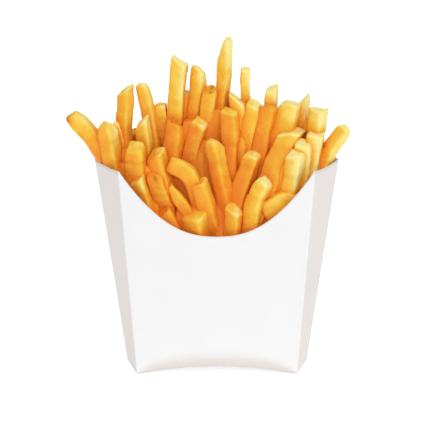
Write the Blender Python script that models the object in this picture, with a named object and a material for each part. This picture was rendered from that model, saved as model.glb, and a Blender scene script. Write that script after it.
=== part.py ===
"""French fries standing in a folded paperboard scoop carton.

Two sub-parts: the carton, one folded sheet with an open top, and the heap of fries
that fills it and stands out of it. Sizes are in millimetres until a mesh is made.
The carton's middle is at x = y = 0 until the last step, z = 0 is the table.
"""

from math import cos, exp, pi, radians, sin

import bmesh
import bpy
from mathutils import Matrix, Vector

MM = 0.001

# Carton: half widths and half depths of its six-sided section, foot and rim
FOOT_HALF_WIDTH = 40.0
FOOT_HALF_DEPTH = 17.0
FOOT_SIDE = 45.9
FOOT_SIDE_LIFT = 0.3
RIM_HALF_WIDTH = 46.2
RIM_HALF_DEPTH = 22.0
RIM_SIDE = 59.6
RIM_HEIGHT = 107.9
SIDE_HEIGHT = 107.2
FACET_DIP = 0.9
BOARD = 0.45

# Carton: the curves of its edges and panels
SCOOP_LOW = 75.6
SCOOP_POWER = 2.4
CROWN_RISE = 24.0
VAULT_RISE = 4.4
BULGE = 3.0
TUCK_HEIGHT = 5.0

# Carton: how finely it is drawn
PANEL_STEPS = 20
FACET_STEPS = 3
LEVELS = (0.0, 0.03, 0.08, 0.2, 0.4, 0.6, 0.8, 1.0)

# The heap is set out as it is seen from the front, tilted down and from this far away
VIEW_TILT = radians(20)
EYE_DISTANCE = 700.0
EYE_ACROSS = 3.25
EYE_UP = 75.25

# Fries: the core that carries them, and their sections
CORE_INSET = 2.0
CORE_FRONT_HEIGHT = 60.0
CORE_BACK_HEIGHT = 82.0
WALL_GAP = 0.4
BOW_FILLED = 0.85
FOOT_END = 46.0
CORNER_CUT = 0.24
END_CHAMFER = 1.2
TIP_RUN = 5.0
STATION_SPACING = 28.0

# The overhang of the heap to the left puts the middle of the whole beside the carton's
CARTON_OFFSET = 3.6

# Each fry: the points it passes, from its tip down, as across and up on the sight
# plane with the depth behind the carton's middle, then its seen width, its roll in
# degrees, how much higher its tip is cut on the right, and how far its tip narrows
FRIES = {
    # The left side, from the rim's corner inwards
    "leaning_left": (((-72.9, 129.4, -1), (-65.9, 122.4, -1), (-60.4, 116.4, -1), (-55.5, 110.4, -1)),
                     9.3, 12, -1.2, 0.78),
    "fat_left": (((-55.8, 125.2, -6), (-54.5, 114.6, -6), (-52.0, 103.0, -6)), 9.9, 35, -0.5, 0.85),
    "thin_left": (((-50.4, 125.5, 0), (-47.0, 107.0, -1)), 4.6, 5, -1.0, 0.75),
    "upright_left": (((-46.0, 142.3, 4), (-45.5, 126.1, 3), (-45.2, 114.5, 2)), 8.5, 30, 4.8, 1.0),
    "bent_left": (((-37.8, 144.7, 7), (-35.0, 133.7, 7), (-32.1, 124.2, 5), (-30.4, 112.0, 4)),
                  7.3, 15, -1.0, 0.8),
    "notched_left": (((-37.6, 126.5, 0), (-36.6, 118.4, -1), (-35.2, 108.0, -2)), 7.9, 20, 6.0, 0.95),
    "filler_left": (((-28.1, 134.7, 9), (-28.5, 112.0, 7)), 6.8, 0, 1.0, 0.85),
    "stub_left": (((-41.0, 113.6, -12), (-40.7, 105.0, -11), (-40.2, 95.0, -10)), 10.2, 8, 0.0, 0.85),
    "slant_left": (((-30.6, 110.6, -9), (-28.2, 99.3, -10), (-25.4, 88.0, -10)), 10.2, 30, 3.4, 1.0),
    "front_left": (((-40.0, 98.0, -15), (-36.4, 88.8, -14), (-34.0, 81.0, -14)), 8.8, 30, 2.8, 0.98),
    "second_left": (((-31.2, 99.8, -14), (-28.3, 89.7, -12), (-25.4, 81.0, -9)), 8.9, 15, -1.0, 0.98),
    "thin_diagonal": (((-23.6, 94.0, -14), (-18.7, 86.8, -14), (-14.2, 80.0, -14)), 6.4, 10, 2.0, 0.45),
    "orange_stub": (((-26.9, 81.4, -16), (-22.0, 71.0, -16)), 8.8, 5, 3.8, 0.95),
    "front_block": (((-11.1, 80.8, -17), (-9.8, 68.0, -16)), 13.2, 32, 1.0, 1.0),
    "curved_front": (
        ((-23.6, 105.4, -11), (-20.2, 104.1, -12), (-16.3, 101.7, -13), (-12.5, 96.9, -13),
         (-9.0, 90.0, -11), (-6.5, 80.0, -10)), 9.0, 10, 1.0, 0.95),
    "cracked_front": (((-9.4, 96.2, -14), (-7.2, 88.8, -14), (-3.9, 80.6, -13), (-0.9, 70.0, -12)),
                      9.4, 20, 0.5, 0.98),
    # The middle and the tall ones behind it
    "rough_middle": (((-20.4, 125.0, 1), (-21.1, 116.5, -1), (-22.4, 104.5, -3), (-24.4, 93.0, -4)),
                     9.8, 25, -3.5, 0.92),
    "pale_end_middle": (((-8.2, 126.2, 1), (-11.1, 116.5, 0), (-14.3, 103.5, -1)), 8.7, 15, -1.6, 1.0),
    "tall_left": (((-18.4, 156.8, 10), (-20.2, 145.2, 10), (-21.6, 130.0, 8), (-22.6, 120.0, 8)),
                  8.7, 12, -3.8, 0.98),
    "sliver_behind": (((-14.6, 140.9, 14), (-15.0, 122.0, 13)), 7.0, 0, 0.0, 0.85),
    "tall_peaked": (((-9.1, 152.6, 12), (-9.8, 141.4, 11), (-10.6, 127.0, 10)), 7.8, 20, -4.2, 0.9),
    "crumbled": (((-3.4, 142.0, 8), (-4.4, 135.7, 8), (-6.0, 124.0, 6)), 7.8, 5, 1.0, 0.9),
    "tallest": (((4.0, 164.8, 13), (3.5, 155.0, 13), (3.3, 144.3, 12), (1.2, 126.0, 9)), 7.5, 26, 9.6, 0.95),
    "sloped_wedge": (((10.6, 137.4, 7), (10.9, 126.0, 6), (10.9, 110.0, 2)), 8.6, 10, -7.0, 1.0),
    "thin_upright": (((14.2, 152.8, 12), (14.3, 132.0, 11)), 5.0, 0, 0.0, 0.95),
    "pale_end_right": (((18.9, 135.2, 5), (16.2, 126.5, 4), (14.3, 111.0, 3)), 8.7, 10, -2.0, 0.95),
    "upright_right": (((27.4, 143.2, 10), (27.1, 133.7, 10), (26.0, 122.0, 9)), 6.9, 10, 3.2, 0.92),
    "orange_right": (((26.2, 133.7, 3), (23.9, 122.3, 1), (20.6, 104.5, -1)), 9.4, 20, 0.0, 0.95),
    "crevice": (((-1.6, 133.0, 8), (-2.2, 112.0, 4)), 9.0, 0, 0.0, 0.9),
    "broad_middle": (((6.2, 131.6, 0), (6.6, 118.4, -1), (7.3, 96.0, -3)), 9.5, 20, -2.0, 0.92),
    "ridged_middle": (((-2.6, 116.6, -7), (0.9, 105.0, -8), (4.7, 91.6, -10), (6.6, 81.0, -10)),
                      9.4, 40, -2.0, 0.85),
    "light_end_middle": (((18.1, 110.0, -6), (14.8, 98.3, -8), (9.6, 84.0, -10)), 10.0, 20, 0.5, 0.98),
    # The right side
    "short_front": (((8.8, 82.6, -17), (7.7, 67.5, -16)), 9.4, 25, -3.2, 1.0),
    "dark_gap": (((13.9, 91.0, -11), (12.6, 71.0, -13)), 6.0, 0, 0.0, 0.8),
    "bent_front": (((24.2, 96.8, -16), (20.9, 90.7, -16), (18.9, 83.0, -16), (18.1, 68.5, -16)),
                   9.6, 25, -1.0, 0.95),
    "across_front": (((24.0, 81.2, -13), (31.0, 84.4, -13), (38.0, 86.4, -13)), 13.6, 15, -2.0, 1.0),
    "bright_front": (((39.6, 110.6, -13), (38.7, 101.2, -13), (36.6, 87.0, -12)), 10.4, 30, 1.0, 0.98),
    "pale_behind": (((43.2, 115.6, -9), (42.6, 107.0, -9), (41.3, 90.0, -9)), 9.0, 10, -1.0, 1.0),
    "great_diagonal": (((37.8, 121.4, -2), (32.9, 110.8, -4), (27.7, 99.3, -7), (24.0, 90.0, -9)),
                       12.2, 15, 5.4, 1.0),
    "orange_behind": (((37.2, 135.2, 5), (33.5, 122.3, 4), (29.0, 108.0, 2)), 12.4, 15, 1.5, 0.9),
    "horned": (((43.4, 137.8, 8), (43.0, 130.0, 8), (41.0, 117.0, 6)), 6.4, 20, 7.0, 0.8),
    "twin_right": (((50.8, 132.6, 0), (50.2, 122.3, -1), (48.0, 111.0, -2), (44.6, 99.0, -3)),
                   9.1, 35, 0.0, 1.0),
    "inner_right": (((49.6, 120.6, -5), (48.0, 112.7, -5), (44.8, 100.0, -7)), 8.4, 10, 0.5, 1.0),
    "leaning_right": (((64.3, 123.4, -1), (60.4, 115.6, -1), (56.8, 107.9, -2), (51.5, 99.0, -2)),
                      8.3, 30, 0.0, 0.95),
    # Along the back panel
    "back_far_left": (((-51.0, 119.0, 8), (-44.0, 96.0, 10)), 7.0, 20, 1.0, 0.85),
    "back_left": (((-43.0, 121.0, 13), (-37.5, 100.0, 14)), 7.4, 10, 2.0, 0.85),
    "back_left_inner": (((-33.0, 133.5, 16), (-30.5, 108.0, 16)), 7.6, 25, -2.0, 0.8),
    "back_middle_left": (((-20.0, 147.0, 17), (-18.5, 118.0, 16)), 7.0, 10, 2.0, 0.85),
    "back_middle": (((-7.5, 141.0, 17), (-5.0, 118.0, 16)), 7.6, 30, 0.0, 0.85),
    "back_tall": (((6.0, 139.0, 18), (7.0, 116.0, 16)), 6.8, 5, -2.0, 0.85),
    "back_middle_right": (((17.0, 135.0, 17), (15.5, 112.0, 16)), 8.0, 20, 2.0, 0.85),
    "back_right_inner": (((29.0, 133.0, 16), (26.5, 108.0, 16)), 7.4, 35, 0.0, 0.8),
    "back_right": (((41.0, 128.0, 14), (36.5, 104.0, 15)), 7.2, 10, -2.0, 0.85),
    "back_far_right": (((50.5, 120.0, 8), (44.0, 97.0, 10)), 7.0, 25, 0.0, 0.8),
    # Deeper ones that fill the gaps between the others
    "shaded_far_left": (((-47.5, 106.0, -7), (-45.0, 90.0, -9)), 7.0, 20, 0.0, 0.85),
    "shaded_left": (((-36.0, 105.0, -8), (-32.5, 84.0, -11)), 8.0, 10, 0.0, 0.85),
    "shaded_curve": (((-18.5, 103.0, -4), (-16.0, 80.0, -8)), 9.0, 10, 0.0, 0.85),
    "shaded_front_left": (((-17.0, 84.5, -12), (-15.0, 70.0, -13)), 8.0, 15, 0.0, 0.85),
    "shaded_middle": (((-8.5, 117.0, 2), (-3.5, 95.0, -3), (0.5, 79.5, -9)), 9.4, 10, 0.0, 0.85),
    "shaded_front_right": (((28.0, 84.5, -10), (28.5, 72.0, -12)), 8.0, 20, 0.0, 0.85),
    "shaded_right": (((36.0, 112.0, -4), (31.5, 84.0, -9)), 8.0, 10, 0.0, 0.85),
    "shaded_high_left": (((-44.0, 113.5, -3), (-41.0, 98.0, -6)), 9.0, 10, 0.0, 0.85),
    "shaded_high_middle": (((-13.4, 127.0, 5), (-10.6, 106.0, 0)), 9.6, 10, 0.0, 0.85),
    "shaded_far_right": (((31.0, 113.0, 1), (27.5, 96.0, -3)), 9.0, 10, 0.0, 0.85),
    "shaded_right_side": (((54.0, 108.5, -3), (49.0, 94.0, -5)), 8.0, 10, 0.0, 0.85),
}


def blend(start, end, share):
    return start + (end - start) * share


def clear_scene():
    for thing in list(bpy.data.objects):
        bpy.data.objects.remove(thing, do_unlink=True)


def plain_material(name, colour, roughness):
    material = bpy.data.materials.new(name)
    material.use_nodes = True
    shader = material.node_tree.nodes["Principled BSDF"]
    shader.inputs["Base Color"].default_value = (*colour, 1.0)
    shader.inputs["Roughness"].default_value = roughness
    shader.inputs["Metallic"].default_value = 0.0
    return material


def add_object(name, form, material):
    """Make an object of a bmesh that is drawn in millimetres."""
    form.transform(Matrix.Scale(MM, 4))
    mesh = bpy.data.meshes.new(name)
    form.to_mesh(mesh)
    form.free()
    mesh.materials.append(material)
    thing = bpy.data.objects.new(name, mesh)
    bpy.context.scene.collection.objects.link(thing)
    return thing


# The carton's section is walked from its left side edge over the front to its right
# side edge. The back mirrors the front in depth and differs only in its top edge.


def facet_column(side, share):
    """A ruling on a side facet, share 0 at the side edge and 1 at the panel's corner."""
    foot = Vector((side * blend(FOOT_SIDE, FOOT_HALF_WIDTH, share), FOOT_HALF_DEPTH * share,
                   FOOT_SIDE_LIFT * (1 - share)))
    head = Vector((side * blend(RIM_SIDE, RIM_HALF_WIDTH, share), RIM_HALF_DEPTH * share, RIM_HEIGHT))
    return foot, head, None


def panel_column(across):
    """A ruling on the front or back panel, across -1 at its left edge and 1 at its right."""
    foot = Vector((FOOT_HALF_WIDTH * across, FOOT_HALF_DEPTH, VAULT_RISE * (1 - across**2)))
    head = Vector((RIM_HALF_WIDTH * across, RIM_HALF_DEPTH, RIM_HEIGHT))
    return foot, head, across


def carton_columns():
    left = [facet_column(-1, i / FACET_STEPS) for i in range(FACET_STEPS)]
    panel = [panel_column(2 * i / PANEL_STEPS - 1) for i in range(PANEL_STEPS + 1)]
    right = [facet_column(1, i / FACET_STEPS) for i in reversed(range(FACET_STEPS))]
    return left + panel + right


def front_top(column):
    foot, head, across = column
    if across is None:
        share = head.y / RIM_HALF_DEPTH
        return blend(SIDE_HEIGHT, RIM_HEIGHT, share) - FACET_DIP * 4 * share * (1 - share)
    return blend(SCOOP_LOW, RIM_HEIGHT, abs(across) ** SCOOP_POWER)


def back_top(column):
    foot, head, across = column
    if across is None:
        return blend(SIDE_HEIGHT, RIM_HEIGHT, head.y / RIM_HALF_DEPTH)
    return RIM_HEIGHT + CROWN_RISE * (1 - across**2)


def bow(across, height):
    """How far a panel stands out between its creases, least at its tucked-in foot."""
    share = height / RIM_HEIGHT
    swell = sin(pi * (0.16 + 0.6 * share)) * (1 - exp(-height / TUCK_HEIGHT))
    return BULGE * (1 - across**2) * swell


def wall_point(column, facing, height):
    """A point on the outside of the wall, facing -1 for the front and 1 for the back."""
    foot, head, across = column
    share = height / RIM_HEIGHT
    depth = blend(foot.y, head.y, share)
    if across is not None:
        depth += bow(across, height - foot.z)
    return Vector((blend(foot.x, head.x, share), facing * depth, height))


def wall_rows(form, columns, facing, top):
    rows = []
    for column in columns:
        foot_height = column[0].z
        heights = [blend(foot_height, top(column), level) for level in LEVELS]
        rows.append([form.verts.new(wall_point(column, facing, height)) for height in heights])
    return rows


def make_carton(material):
    form = bmesh.new()
    columns = carton_columns()
    front = wall_rows(form, columns, -1, front_top)
    back = wall_rows(form, columns, 1, back_top)
    for i in range(len(columns) - 1):
        for j in range(len(LEVELS) - 1):
            form.faces.new((front[i][j], front[i + 1][j], front[i + 1][j + 1], front[i][j + 1]))
            form.faces.new((back[i + 1][j], back[i][j], back[i][j + 1], back[i + 1][j + 1]))
        form.faces.new((front[i][0], back[i][0], back[i + 1][0], front[i + 1][0]))
    bmesh.ops.remove_doubles(form, verts=form.verts, dist=0.01)
    carton = add_object("carton", form, material)
    board = carton.modifiers.new("Board", "SOLIDIFY")
    board.thickness = BOARD * MM
    board.offset = -1.0
    board.use_even_offset = True
    return carton


def make_core(material):
    """The inside of the heap: a plug that fills the carton below the fries' ends."""
    form = bmesh.new()
    columns = carton_columns()
    loop = [(column, -1) for column in columns] + [(column, 1) for column in columns[-2:0:-1]]
    rings = []
    for level in (0.0, 0.5, 1.0):
        ring = []
        for column, facing in loop:
            top_share = 0.5 + 0.5 * facing * column[0].y / FOOT_HALF_DEPTH
            top = blend(CORE_FRONT_HEIGHT, CORE_BACK_HEIGHT, top_share)
            low = VAULT_RISE + CORE_INSET
            point = wall_point((column[0], column[1], None), facing, blend(low, top, level))
            reach_x = blend(FOOT_SIDE, RIM_SIDE, point.z / RIM_HEIGHT)
            reach_y = blend(FOOT_HALF_DEPTH, RIM_HALF_DEPTH, point.z / RIM_HEIGHT)
            point.x *= 1 - 1.3 * CORE_INSET / reach_x
            point.y *= 1 - CORE_INSET / reach_y
            ring.append(form.verts.new(point))
        rings.append(ring)
    count = len(loop)
    for low, high in zip(rings, rings[1:]):
        for i in range(count):
            form.faces.new((low[i], low[(i + 1) % count], high[(i + 1) % count], high[i]))
    form.faces.new(list(reversed(rings[0])))
    form.faces.new(rings[-1])
    return add_object("fries", form, material)


def seen_at(across, up, depth):
    """The point at a depth that shows at a place on the sight plane through the front foot."""
    right = Vector((1, 0, 0))
    upward = Vector((0, sin(VIEW_TILT), cos(VIEW_TILT)))
    forward = Vector((0, cos(VIEW_TILT), -sin(VIEW_TILT)))
    front_foot = Vector((0, -FOOT_HALF_DEPTH, 0))
    eye = front_foot + right * EYE_ACROSS + upward * EYE_UP - forward * EYE_DISTANCE
    ray = front_foot + right * across + upward * up - eye
    return eye + ray * ((depth - eye.y) / ray.y)


def wall_above(point):
    """How high the carton's wall stands beside a point in it."""
    if abs(point.x) > RIM_HALF_WIDTH:
        return RIM_HEIGHT
    if point.y > 0:
        return RIM_HEIGHT + CROWN_RISE * (1 - (point.x / RIM_HALF_WIDTH) ** 2)
    return blend(SCOOP_LOW, RIM_HEIGHT, (abs(point.x) / RIM_HALF_WIDTH) ** SCOOP_POWER)


def kept_inside(point, room):
    """Move a point of a fry's middle line so that the fry clears the carton's walls."""
    if point.z > wall_above(point) + room:
        return point
    share = point.z / RIM_HEIGHT
    corner = blend(FOOT_HALF_WIDTH, RIM_HALF_WIDTH, share)
    side = blend(FOOT_SIDE, RIM_SIDE, share)
    half_depth = blend(FOOT_HALF_DEPTH, RIM_HALF_DEPTH, share) - BOARD
    bowed = BOW_FILLED * bow(min(1.0, abs(point.x) / corner), point.z)
    depth_limit = half_depth + bowed - room
    depth = max(-depth_limit, min(depth_limit, point.y))
    side_limit = blend(side, corner, min(1.0, abs(depth) / half_depth)) - BOARD - 1.15 * room
    return Vector((max(-side_limit, min(side_limit, point.x)), depth, point.z))


def middle_line(points, room):
    """Evenly spaced stations from a fry's tip down to its end in the core."""
    line = [seen_at(*point) for point in points]
    run = line[-1] - line[-2]
    sink = max(0.0, line[-1].z - FOOT_END)
    if run.z < -0.2 * run.length:
        line.append(line[-1] + run * (sink / -run.z))
    else:
        line.append(Vector((line[-1].x, line[-1].y + 8, line[-1].z - sink * 0.5)))
    lengths = [0.0]
    for start, end in zip(line, line[1:]):
        lengths.append(lengths[-1] + (end - start).length)
    stations = max(4, round(lengths[-1] / STATION_SPACING) + len(points) - 2)
    spots = [lengths[-1] * i / stations for i in range(stations + 1)]
    return [kept_inside(along(line, lengths, spot), room) for spot in spots]


def along(line, lengths, spot):
    """The point at a length along a line, rounded at its inner points."""
    i = next((k for k in range(len(line) - 2) if spot < lengths[k + 1]), len(line) - 2)
    span = lengths[i + 1] - lengths[i]
    t = (spot - lengths[i]) / span
    before, after = line[max(0, i - 1)], line[min(len(line) - 1, i + 2)]
    slope_in = (line[i + 1] - before) * (0.5 if i > 0 else 1.0)
    slope_out = (after - line[i]) * (0.5 if i < len(line) - 2 else 1.0)
    return (line[i] * (2 * t**3 - 3 * t**2 + 1) + slope_in * (t**3 - 2 * t**2 + t)
            + line[i + 1] * (-2 * t**3 + 3 * t**2) + slope_out * (t**3 - t**2))


def fry_section(half_width, half_thickness):
    """A square section with its corners cut off, as places beside and before the middle line."""
    cut = CORNER_CUT * min(half_width, half_thickness) * 2
    a, b = half_width, half_thickness
    return ((a, b - cut), (a - cut, b), (cut - a, b), (-a, b - cut),
            (-a, cut - b), (cut - a, -b), (a - cut, -b), (a, cut - b))


def fry_ring(form, centre, upward, roll, section, narrowing, slant, width):
    """One ring of a fry's section, square to its run and tipped by the slant of its cut."""
    sight = Vector((0, cos(VIEW_TILT), -sin(VIEW_TILT)))
    beside = sight.cross(upward).normalized()
    before = upward.cross(beside)
    ring = []
    for across, out in section:
        x = across * cos(roll) - out * sin(roll)
        y = across * sin(roll) + out * cos(roll)
        place = centre + (beside * x - before * y) * narrowing + upward * slant * x / width
        ring.append(form.verts.new(place))
    return ring


def make_fry(name, points, seen_width, roll, slant, tip_width, material):
    turn = radians(roll)
    reach = max(x * cos(turn) - y * sin(turn) for x, y in fry_section(0.5, 0.5))
    half_width = seen_width / reach / 4
    section = fry_section(half_width, half_width)
    stations = middle_line(points, seen_width / 2 + WALL_GAP)
    run = (stations[1] - stations[0]).normalized()
    tip_run = TIP_RUN / tip_width + abs(slant) / 2
    stations[1:1] = [stations[0] + run * END_CHAMFER, stations[0] + run * tip_run]
    narrowings = [0.75 * tip_width, tip_width] + [1.0] * (len(stations) - 2)
    slants = [slant, slant] + [0.0] * (len(stations) - 2)
    form = bmesh.new()
    rings = []
    for i, station in enumerate(stations):
        near, far = stations[max(0, i - 1)], stations[min(len(stations) - 1, i + 1)]
        upward = (near - far).normalized()
        rings.append(fry_ring(form, station, upward, turn, section, narrowings[i], slants[i], seen_width))
    sides = len(section)
    for high, low in zip(rings, rings[1:]):
        for i in range(sides):
            form.faces.new((high[i], high[(i + 1) % sides], low[(i + 1) % sides], low[i]))
    form.faces.new(list(reversed(rings[0])))
    form.faces.new(rings[-1])
    bmesh.ops.recalc_face_normals(form, faces=form.faces)
    return add_object(name, form, material)


def keep_largest_shell(mesh):
    """Drop sealed hollows and loose scraps, so that one closed skin is left."""
    form = bmesh.new()
    form.from_mesh(mesh)
    left = set(form.verts)
    shells = []
    while left:
        shell, todo = set(), [next(iter(left))]
        while todo:
            vert = todo.pop()
            if vert not in shell:
                shell.add(vert)
                todo += [edge.other_vert(vert) for edge in vert.link_edges]
        left -= shell
        shells.append(shell)
    largest = max(shells, key=len)
    scraps = [vert for vert in form.verts if vert not in largest]
    bmesh.ops.delete(form, geom=scraps, context="VERTS")
    bmesh.ops.triangulate(form, faces=form.faces)
    form.to_mesh(mesh)
    form.free()


def make_fries(material):
    """Fuse every fry to the core with one union, and keep its outer skin."""
    heap = make_core(material)
    pieces = bpy.data.collections.new("fries_pieces")
    bpy.context.scene.collection.children.link(pieces)
    for name, (points, seen_width, roll, slant, tip_width) in FRIES.items():
        fry = make_fry(name, points, seen_width, roll, slant, tip_width, material)
        bpy.context.scene.collection.objects.unlink(fry)
        pieces.objects.link(fry)
    union = heap.modifiers.new("Union", "BOOLEAN")
    union.operation = "UNION"
    union.operand_type = "COLLECTION"
    union.collection = pieces
    union.solver = "EXACT"
    fused = bpy.data.meshes.new_from_object(heap.evaluated_get(bpy.context.evaluated_depsgraph_get()))
    heap.modifiers.clear()
    heap.data = fused
    for fry in list(pieces.objects):
        bpy.data.objects.remove(fry, do_unlink=True)
    bpy.data.collections.remove(pieces)
    keep_largest_shell(heap.data)
    return heap


def main():
    clear_scene()
    paperboard = plain_material("paperboard", (0.93, 0.92, 0.91), 0.55)
    fried_potato = plain_material("fried_potato", (0.88, 0.52, 0.1), 0.5)
    carton = make_carton(paperboard)
    fries = make_fries(fried_potato)
    for thing in (carton, fries):
        thing.data.transform(Matrix.Translation((CARTON_OFFSET * MM, 0, 0)))


main()
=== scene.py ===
"""The finish of a portion of french fries in a plain white folded carton.

The carton is one folded sheet of paperboard with rounded folds, a glued lap and a
lapped bottom. The fries are cut potato sticks, each modelled from end to end, over
a core that fills the carton. Lengths are in millimetres until a mesh is made.
"""

from collections import namedtuple
from math import cos, exp, pi, radians, sin

import bmesh
import bpy
import numpy as np
from mathutils import Matrix, Vector, noise
from mathutils.bvhtree import BVHTree


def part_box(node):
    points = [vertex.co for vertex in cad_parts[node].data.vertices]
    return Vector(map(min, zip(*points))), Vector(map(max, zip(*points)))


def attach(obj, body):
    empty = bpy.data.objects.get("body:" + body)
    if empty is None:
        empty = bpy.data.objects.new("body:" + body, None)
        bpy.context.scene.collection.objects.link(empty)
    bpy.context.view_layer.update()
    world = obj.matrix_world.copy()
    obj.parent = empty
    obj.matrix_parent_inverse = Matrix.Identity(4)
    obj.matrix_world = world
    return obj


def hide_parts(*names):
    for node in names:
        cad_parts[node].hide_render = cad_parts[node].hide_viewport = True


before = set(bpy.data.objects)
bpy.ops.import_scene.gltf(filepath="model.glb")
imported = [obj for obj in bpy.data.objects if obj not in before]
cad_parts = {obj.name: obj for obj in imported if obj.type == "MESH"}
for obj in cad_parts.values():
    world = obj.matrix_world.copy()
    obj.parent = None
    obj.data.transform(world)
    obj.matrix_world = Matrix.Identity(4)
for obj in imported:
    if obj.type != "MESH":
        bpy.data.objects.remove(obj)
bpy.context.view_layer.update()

MM = 0.001

# The carton, as it is folded: half widths, half depths and heights
FOOT_HALF_WIDTH = 40.0
FOOT_HALF_DEPTH = 17.0
FOOT_SIDE = 45.9
FOOT_SIDE_LIFT = 0.3
RIM_HALF_WIDTH = 46.2
RIM_HALF_DEPTH = 22.0
RIM_SIDE = 59.6
RIM_HEIGHT = 107.9
SIDE_HEIGHT = 107.2
FACET_DIP = 0.9
BOARD = 0.45
SCOOP_LOW = 75.6
SCOOP_POWER = 2.4
CROWN_RISE = 24.0
VAULT_RISE = 4.4
BULGE = 3.0
TUCK_HEIGHT = 5.0
# The part of a half wave that the bulge follows from foot to rim
BULGE_START = 0.16
BULGE_RUN = 0.6

# How finely the sheet is drawn; its rows lie closer together towards the foot
FOLD_RADIUS = 0.7
FOLD_STEPS = 4
PANEL_STEPS = 88
FACET_STEPS = 12
LEVEL_STEPS = 64
LEVEL_CROWDING = 1.25
BOTTOM_STEPS = 16
DOUBLES_WITHIN = 0.02

# The glued lap of the back: where it ends across the panel, how much it lifts the
# panel and how steeply the lift ends at the fold
LAP_PLACE = -0.8
LAP_RISE = 0.4
LAP_SLOPE = 3
# The bottom: how far behind the middle its outer flap ends, over what depth the lift
# of the inner flap over it fades towards the side edges, and how steeply that ends at
# the back fold
FLAP_REACH = 6.0
FLAP_FADE = 6
FLAP_SLOPE = 4

# Painted shade at the tucked-in foot: a lens, highest in the middle of the panel
LENS_HEIGHT = 10.0
LEAST_LENS = 0.5
LENS_POWER = 4
LENS_SHADE = 1.5
# The slight waves of the board, their number to a millimetre across and up, and how
# far apart in the noise the waves of the front and of the back are taken
WAVE = 0.16
WAVES_ACROSS = 0.03
WAVES_UP = 0.025
WAVES_APART = 3.0

# How the carton is seen from the front: the tilt of the eye, its place over the middle
# of the front foot, how wide the frame is there, and the directions as the eye sees them
VIEW_TILT = radians(20)
EYE_DISTANCE = 700.0
EYE_ACROSS = 3.25
EYE_UP = 75.25
FRAME_WIDTH = 223.5
SENSOR_WIDTH = 36.0
RIGHT = Vector((1, 0, 0))
UPWARD = Vector((0, sin(VIEW_TILT), cos(VIEW_TILT)))
SIGHT = Vector((0, cos(VIEW_TILT), -sin(VIEW_TILT)))

# The core under the fries
CORE_INSET = 2.0
CORE_SIDE_INSET = 1.3
CORE_FRONT_HEIGHT = 58.0
CORE_BACK_HEIGHT = 80.0
CORE_LEVELS = 8
CORE_STRIDE = 4

# How a fry runs down between the walls into the core. One that lies nearly level turns
# back and sinks a little instead
WALL_GAP = 0.4
SIDE_ROOM = 1.15
BOW_FILLED = 0.85
FOOT_END = 46.0
LEVEL_SLOPE = 0.2
LEVEL_DEPTH = 8.0
LEVEL_SINK = 0.5

# How finely a fry is drawn
STATION_SPACING = 28.0
FEWEST_STATIONS = 4
END_SPOTS = (0.0, 0.15, 0.4, 0.8, 1.3, 1.9, 2.6)
RING_SPACING = 1.25
HIDDEN_RING_SPACING = 5.0
HIDDEN_BELOW = 60.0
HIDDEN_MARGIN = 5
SIDES_PER_FACE = 8

# A fry's own form, drawn at random: how soft its corners are, how far it twists over
# a length, and how hollow its faces are beside its half width
LEAST_FORM = (0.35, -0.35, 0.02)
MOST_FORM = (0.8, 0.35, 0.08)
TWIST_RUN = 60.0
# The power that makes its section round, and how much more makes it sharp
ROUND_POWER = 2.6
SHARPER_POWER = 5
# How far it bends, over what length that sets in, by what share it thickens, and how
# many bends and thickenings there are to a millimetre
BEND = 1.6
BEND_RUN = 20
BENDS = 0.05
THICKENING = 0.07
THICKENINGS = 0.08
# How far apart in the noise one fry is taken from the next
NOISE_STEPS = (7.31, 3.77, 5.13)

# Over what length below its tip a cut's slopes, its taper and its paleness fade
CUT_RUN = 3.0
SLOPE_RUN = 0.9
CROWN_RUN = 1.7
TAPER_RUN = 3.5
PALE_RUN = 1.4
BROWN_RUN = 4.0
LEAST_END = 0.4
CUT_GRAIN = 0.7
CRACK_WANDER = 1.4
CRACK_GRAIN = 0.3
# The closed end: its rings, and the height and grain of its two roughnesses
END_RINGS = (0.86, 0.66, 0.44, 0.22)
END_DOME = 0.25
END_ROUGHNESS = ((0.25, 0.5), (0.12, 1.4))
# The swells, lumps and blisters of the skin: their height and grain
SKIN_RELIEF = ((0.42, 0.12), (0.24, 0.34), (0.08, 1.1))

# How much a fry's tone varies from face to face, the painted light that makes it paler to
# the right, and the painted shade that deepens it in cracks and towards its foot
FACE_TONE = 0.07
SIDE_LIGHT_TONE = 0.2
CRACK_SHADE = 0.35
FOOT_SHADE = 0.32
FOOT_SHADE_RUN = 38.0

# The probes that find how closely other fries crowd the skin, for the painted shade in
# crevices: how far they reach, how far off the skin they start, how steeply they go out
# and aside, and how often the values are evened out
TUCK_REACH = 11.0
TUCK_START = 0.35
TUCK_OUT = 0.55
TUCK_ASIDE = 0.84
TUCK_TURNS = tuple(2 * pi * i / 6 for i in range(6))
TUCK_PASSES = 2
# Painted shade: the skin gets deeper where it faces away from this side, as if lit from
# it, and near the carton's wall, up to a height over its rim
PAINTED_LIGHT_SIDE = Vector((0.4, -0.5, 0.77))
PAINTED_LIGHT_SIDE_SHARE = 0.34
WALL_SHADE_SHARE = 0.75
WALL_NEAR = 1.4
WALL_RUN = 9
WALL_OVER = 6

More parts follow.
